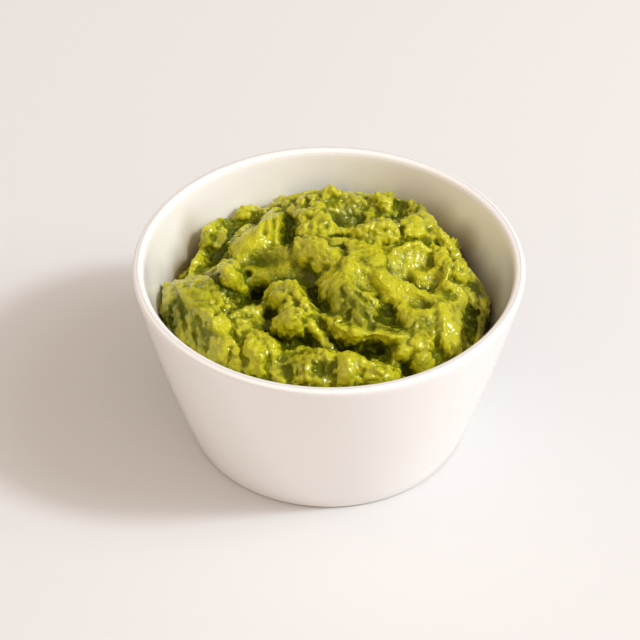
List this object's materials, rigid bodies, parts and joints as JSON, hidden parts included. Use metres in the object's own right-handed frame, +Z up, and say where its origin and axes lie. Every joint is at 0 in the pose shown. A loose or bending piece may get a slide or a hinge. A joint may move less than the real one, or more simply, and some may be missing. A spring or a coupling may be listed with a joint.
{
  "type": "bowl of guacamole",
  "caption": "Small white glazed dip bowl with slanted sides, filled with a rough, folded heap of mashed avocado dip.",
  "frame": {"origin": "centre of the bowl's foot, on the surface it stands on", "axes": "+Z up along the bowl's axis; -Y towards the front of the heap as served, +X to its right"},
  "size_m": [0.12, 0.12, 0.062],
  "materials": {
    "glaze": "smooth glossy white glaze",
    "guacamole": "wet mashed avocado, glossy with soft crumbs"
  },
  "bodies": {
    "root": {"bowl": "glaze", "guacamole": "guacamole"}
  },
  "joints": []
}
